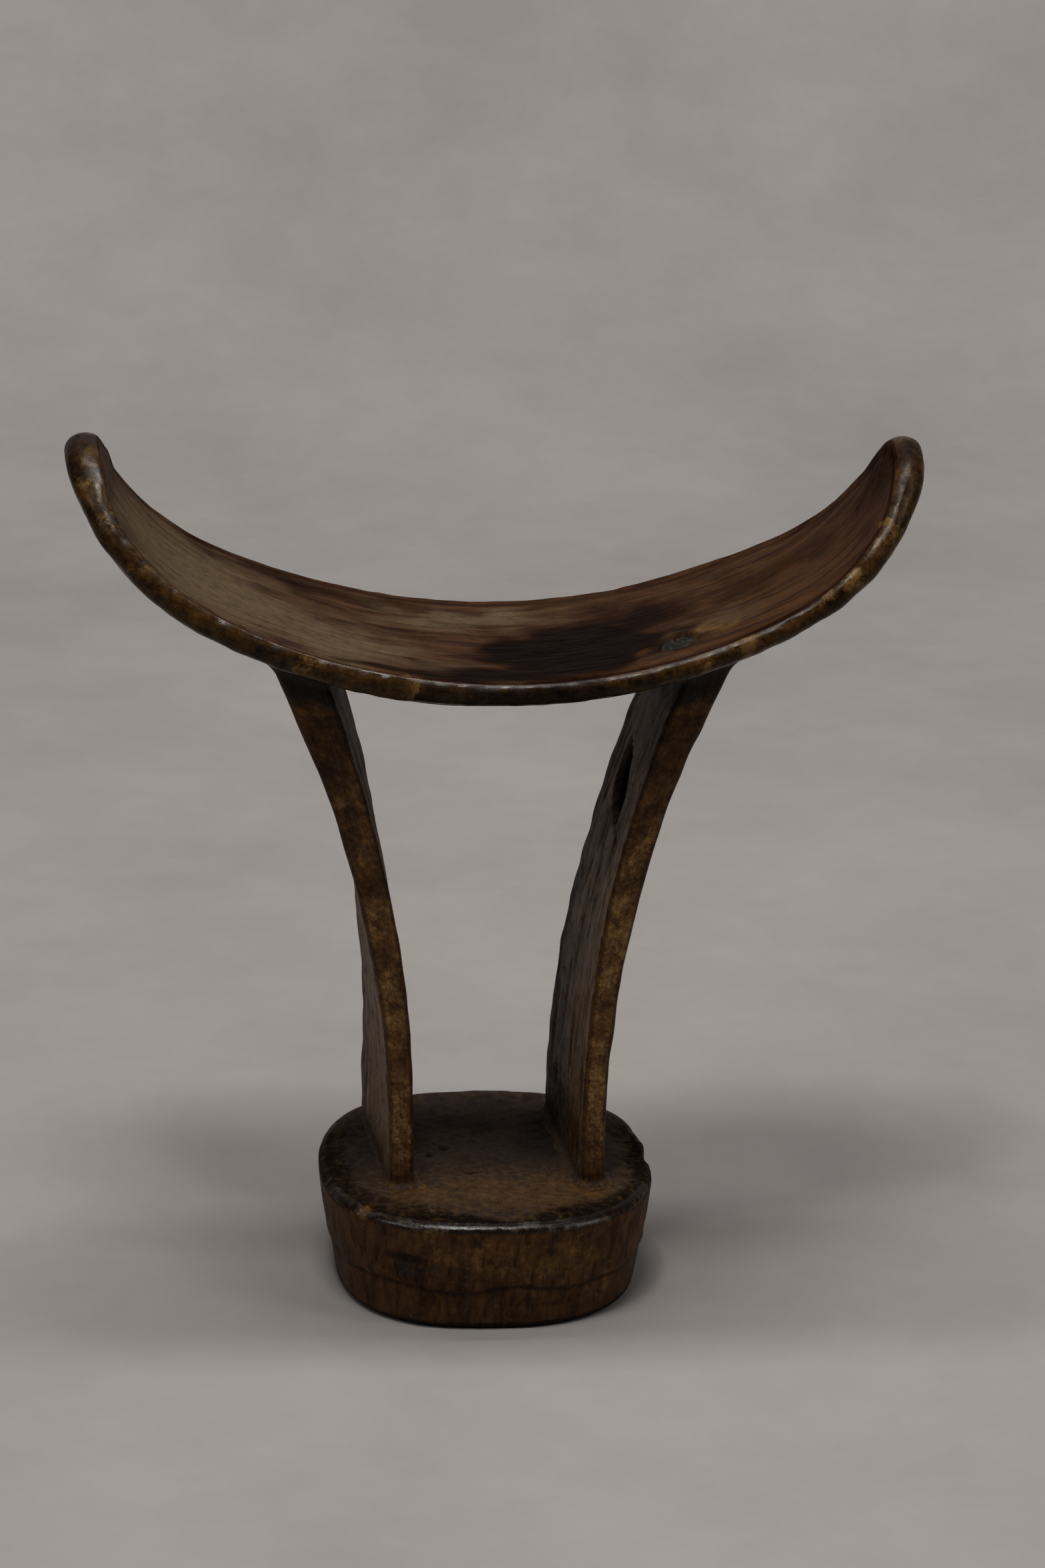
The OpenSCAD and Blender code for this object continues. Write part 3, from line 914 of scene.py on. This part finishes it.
def strutMesh(name, board):
    shape = strutShape
    side = board["side"]
    cx, cy, ax, ay = strutOutline(shape["outline"])
    swing = np.linspace(0, math.pi / 2, shape["flareRows"])
    lowFlare = shape["footFlare"]
    highFlare = shape["restFlare"]
    run = np.linspace(0, 1, shape["rows"])[1:-1]
    # each row: share of the straight run, height above its start, height below its end, flare
    rows = [(0, -shape["dive"] - lowFlare, 0, lowFlare * 1.1)]
    rows += [(0, -lowFlare * math.cos(a), 0, lowFlare * (1 - math.sin(a))) for a in swing]
    rows += [(share, 0, 0, 0) for share in run]
    rows += [(1, 0, highFlare * math.sin(a), highFlare * (1 - math.cos(a))) for a in swing]
    rows += [(1, 0, highFlare + shape["dive"], highFlare * 1.1)]
    share, above, below, flare = (np.array(column)[:, None] for column in zip(*rows))
    reach = shape["topAt"] - board["bendAt"]
    footTop = footHigh[2]
    z = between(footTop, shape["topAt"], share) + 0 * cx
    for _ in range(8):
        climb = np.clip((z - board["bendAt"]) / reach, 0, 1.15)
        thick = between(board["thick"], board["topThick"], climb ** 1.6)
        middle = board["inner"] + board["sway"] * climb ** board["bendPower"] + thick / 2
        corner = shape["corner"] + flare * 0.6
        across = cx * (thick / 2 + flare - corner) + corner * ax
        back = cy * (shape["depth"] / 2 + flare - corner) + corner * ay
        yaw = between(*shape["twist"], ease((z - footTop) / 110))
        x = side * middle + across * np.cos(yaw) - back * np.sin(yaw)
        y = strutMiddleY + across * np.sin(yaw) + back * np.cos(yaw)
        # a base that would overhang the foot's rim is drawn in
        pull = np.maximum(footReach(x, y) / 0.915, 1) - 1
        pull = 1 - pull / (1 + pull) * ease((footTop + 14 - z) / 12)
        x = x * pull
        y = footMiddle[1] + (y - footMiddle[1]) * pull
        roof = underside(x, y)
        dished = footDetail["bowl"] * bell(np.hypot(x, y) / footDetail["bowlReach"])
        z = between(footTop - 0.15 - dished + lowFlare, roof - highFlare, share) + above + below
    rings = np.stack([x, y, z], axis=-1)
    poles = [rings[0].mean(0), rings[-1].mean(0)]
    mesh = ringMesh(name, rings, poles)
    wood = np.stack([z, back + 0 * z, across + 0 * z], axis=-1).reshape(-1, 3)
    wood = np.concatenate([wood, [[z.min(), 0, 0], [z.max(), 0, 0]]])
    mark(mesh, "woodSpace", wood * mm)
    atFront = (cy < -0.99) + 0 * z
    markRings(mesh, {"carve": ease((z - footTop) / 3 + 0.1) * ease((roof - z) / 4 + 0.1),
                     "frontEdge": np.clip(-ay, 0, 1) * atFront,
                     # painted shade along the front corners, where the face turns away
                     "cornerShade": np.abs(2 * ax * ay) * atFront,
                     "behind": ease((back / shape["depth"] - 0.26) / 0.2) + 0 * z})
    markRings(mesh, {"topShade": ease((z - roof + 11) / 9)}, (0, 1))
    markRings(mesh, {"footShade": ease((36 - z) / 10)}, (1, 0))
    return mesh


def strutGouges(mesh, side, seed, count):
    # rough upright tears and cuts over both broad faces
    points = coordinates(mesh) / mm
    normals = coordinates(mesh, "normal")
    wood = values(mesh, "woodSpace") / mm
    dice = np.random.default_rng(seed)
    drop = np.zeros(len(points))
    faces = np.abs(normals[:, 0]) > 0.6
    inner = faces & (normals[:, 0] * side < 0)
    for k in range(count):
        onFace = inner if k % 3 else faces & ~inner
        height = dice.uniform(30, 132)
        back = dice.uniform(-20, 22)
        length = dice.uniform(3, 14)
        wide = dice.uniform(0.4, 1.5)
        slope = dice.uniform(-0.16, 0.12)
        away = (wood[:, 1] - back - slope * (wood[:, 0] - height)) / wide
        cut = dice.uniform(0.12, 0.65) * bell(away) * np.exp(-np.abs((wood[:, 0] - height) / length) ** 3)
        drop = np.maximum(drop, cut * onFace)
    setPoints(mesh, points - normals * (drop * values(mesh, "carve"))[:, None])


hollowMiddle = (28.6, 6.0, 112.0)
hollowShape = {"wide": 6.4, "tall": 12.5, "deep": 3.4, "lean": math.radians(43.0)}


def strutHollow(mesh):
    # a pointed hollow rotted into the inner face, leaning back, with a split running on below it
    points = coordinates(mesh) / mm
    normals = coordinates(mesh, "normal")
    shape = hollowShape
    rise = points[:, 2] - hollowMiddle[2]
    behind = points[:, 1] - hollowMiddle[1]
    cosine, sine = math.cos(shape["lean"]), math.sin(shape["lean"])
    up = rise * cosine + behind * sine
    side = behind * cosine - rise * sine + 0.35 * ripple(points, 5, 61)
    lens = np.clip(1 - np.abs(up / shape["tall"]) ** 1.8, 0, 1) * (1 + 0.15 * up / shape["tall"])
    onFace = ease((-normals[:, 0] - 0.4) / 0.3)
    inside = ease((lens * shape["wide"] - np.abs(side)) / 1.6) * onFace
    split = bell((side + 0.5 * np.sin(up / 3)) / 0.6) * ease((-up - 8) / 4) * ease((up + 24) / 8)
    drop = inside * shape["deep"] * (1 + 0.12 * ripple(points, 4, 62)) + split * 0.6 * onFace
    setPoints(mesh, points - normals * drop[:, None])
    mark(mesh, "hollow", np.clip(inside * 1.2 + split, 0, 1))


strutLook = {
    "streakSize": 0.0034, "stretch": 7.0, "mottle": 0.5, "rough": 0.50, "roughSpread": 0.2,
    "specular": 0.14, "bump": 0.6, "hollowDirtAndShade": 0.85,
    "dark": (130, 84, 57), "light": (400, 300, 220), "deep": (34, 22, 15),
    "layers": [
        layer("khaki", (80, 44, 18), (200, 120, 52), softness=0.3),
        layer("behind", (30, 22, 18), (130, 96, 74), breakup=1.0, softness=0.3, strength=0.65),
        speckled("frontEdge", (52, 23, 8), (200, 106, 36), breakup=0.4, softness=0.2, rough=-0.12,
            shine=0.08),
        layer("ochre", (100, 52, 16), (350, 220, 84), inner="Speck", noise="Speck"),
        speckled("brown", (24, 11, 4), (110, 52, 15), breakup=1.0, strength=0.85),
        speckled("soot", (12, 9, 7), (60, 44, 32), softness=0.45, strength=0.85),
        # painted shade along the front corners
        speckled("cornerShade", (24, 11, 5), (100, 46, 16), softness=0.3, strength=0.75),
        layer("topShade", (8, 5.5, 4), (24, 17, 11), noise="Mottle", breakup=0.5, softness=0.45,
            strength=0.9),
        layer("footShade", (30, 14, 6), (120, 62, 24), noise="Mottle", softness=0.45, strength=0.7),
        layer("hollow", (10, 8, 6), (36, 30, 24), breakup=0.3, softness=0.3, rough=0.3),
    ],
}
strutWood = woodMaterial("strut_wood", strutLook)
strutSkin = {"Wobble Size": 0.020, "Wobble Depth": 0.0005, "Facet Size": 0.010, "Facet Depth": 0.0003,
             "Grain Size": 0.0012, "Grain Stretch": 14.0, "Grain Depth": 0.00014}
strutStains = {
    "left": {
        "khaki": [(-22, -4, 40, 8, 30, 20, 0.5)],
        "ochre": [(-26, -16, 92, 5, 4, 8, 0.6), (-21, -16, 40, 4, 4, 12, 0.6),
            (-34, -16, 116, 5, 4, 4, 0.6), (-22, -16, 70, 5, 4, 9, 0.5)],
        "brown": [(-38, -16, 124, 10, 8, 10, 1.0), (-28, -16, 98, 7, 6, 6, 0.7),
            (-22, -16, 56, 4, 4, 8, 0.7), (-23, -16, 80, 4, 4, 5, 0.6)],
        "soot": [(-34, -16, 107, 7, 5, 5.5, 0.95)],
    },
    "right": {
        "khaki": [(20, -6, 45, 8, 16, 30, 0.8)],
        "ochre": [(27, -16, 84, 6, 4, 22, 0.75), (24, -16, 44, 5, 4, 14, 0.9),
            (34, -16, 108, 6, 4, 6, 0.4)],
        "brown": [(40, -16, 124, 12, 8, 12, 0.85), (31, -16, 100, 6, 6, 5, 0.6),
            (20, 4, 36, 8, 20, 8, 0.7)],
        "soot": [(22, 26, 70, 8, 5, 24, 0.7), (20, 14, 34, 6, 10, 8, 0.8)],
    },
}
for sideName, board in strutSides.items():
    node = sideName + "_strut"
    boardMesh = strutMesh(node + "_wood", board)
    rough = 0.35 + 0.65 * values(boardMesh, "behind")
    uneven(boardMesh, [(6, 0.07, 55), (13, 0.16, 56)], rough * values(boardMesh, "carve"))
    strutGouges(boardMesh, board["side"], board["seed"], count=60)
    if board["side"] > 0:
        strutHollow(boardMesh)
    skin = {**strutSkin, "Seed": float(board["seed"])}
    finished(node, boardMesh, skin, strutWood, strutStains[sideName])


# floor, light and camera

studio = {
    "floorColour": (0.350, 0.330, 0.318),
    "floorHalf": 3.0,
    "wallAt": 0.6,  # metres behind the piece at which the floor turns up
    "wallTurn": 0.6,
    "wallHigh": 3.0,
}


def sweepMesh():
    turn = np.linspace(0, math.pi / 2, 40)
    wide, start, bend = studio["floorHalf"], studio["wallAt"], studio["wallTurn"]
    y = np.concatenate([[-wide], start + bend * np.sin(turn), [start + bend]])
    z = np.concatenate([[0], bend * (1 - np.cos(turn)), [studio["wallHigh"]]])
    points = [(x, b, c) for x in (-wide, wide) for b, c in zip(y, z)]
    count = len(y)
    faces = [(k, k + count, k + count + 1, k + 1) for k in range(count - 1)]
    mesh = bpy.data.meshes.new("floor")
    mesh.from_pydata(points, [], faces)
    smoothShaded(mesh)
    return mesh


def floorMaterial():
    material = bpy.data.materials.new("pale_floor")
    material.use_nodes = True
    tree = material.node_tree
    shader = tree.nodes["Principled BSDF"]
    cloud = noiseNode(tree, addNode(tree, "ShaderNodeTexCoord", out=3), 4.0, 8.0, Roughness=0.7)
    pale = studio["floorColour"]
    cloud = ((cloud - 0.36) * 3.6).clamp()
    colour = mixed(tree, cloud, tuple(c * 0.9 for c in pale), tuple(c * 1.1 for c in pale))
    feed(tree, colour, shader.inputs["Base Color"])
    shader.inputs["Roughness"].default_value = 0.75
    return material


floor = linked("floor", sweepMesh())
floor.data.materials.append(floorMaterial())


def softBox(name, place, size, power, blue=0.96, aim=(0, 0, 0.10)):
    data = bpy.data.lights.new(name, "AREA")
    data.shape = "RECTANGLE"
    data.size, data.size_y = size
    data.energy = power
    data.color = (1.0, 0.98, blue)
    lamp = linked(name, data)
    lamp.location = place
    lamp.rotation_euler = (Vector(aim) - Vector(place)).to_track_quat("-Z", "Y").to_euler()


softBox("overhead", (-0.1, -0.35, 1.3), (0.36, 0.22), 4.3, blue=0.95)
softBox("glint", (-0.18, -0.45, 1.25), (0.09, 0.06), 1.2, blue=0.95)
softBox("right_strip", (0.95, -0.5, 0.95), (0.10, 1.1), 1.3)
softBox("left_window", (-1.2, -0.8, 1.2), (0.6, 0.6), 3.7)
softBox("right_window", (1.3, -0.6, 1.2), (0.6, 0.6), 2.1)
softBox("wall_wash", (0.0, 0.2, 2.2), (1.6, 0.4), 24.5, blue=0.97, aim=(0, 1.2, 0.9))
world = bpy.data.worlds.new("studio")
world.use_nodes = True
backdrop = world.node_tree.nodes["Background"].inputs
backdrop["Color"].default_value = (1.0, 0.96, 0.93, 1.0)
backdrop["Strength"].default_value = 0.04
bpy.context.scene.world = world

lookout = {"aim": (6.4, 0.0, 114.1), "distance": 870.0, "turn": math.radians(4.85),
           "rise": math.radians(18.13), "roll": math.radians(1.23), "lens": 91.8, "film": 36.0}


def lookoutCamera(setup):
    turn, rise = setup["turn"], setup["rise"]
    flat = Vector((-math.sin(turn), -math.cos(turn), 0))
    away = flat * math.cos(rise) + Vector((0, 0, math.sin(rise)))
    data = bpy.data.cameras.new("lookout")
    data.sensor_fit = "VERTICAL"
    data.sensor_height = setup["film"]
    data.lens = setup["lens"]
    camera = linked("lookout", data)
    place = Matrix.Translation((Vector(setup["aim"]) + away * setup["distance"]) * mm)
    turned = away.to_track_quat("Z", "Y").to_matrix().to_4x4()
    camera.matrix_world = place @ turned @ Matrix.Rotation(setup["roll"], 4, "Z")
    return camera


scene = bpy.context.scene
scene.camera = lookoutCamera(lookout)
scene.view_settings.view_transform = "Standard"
scene.view_settings.look = "Medium High Contrast"
print("stage set")
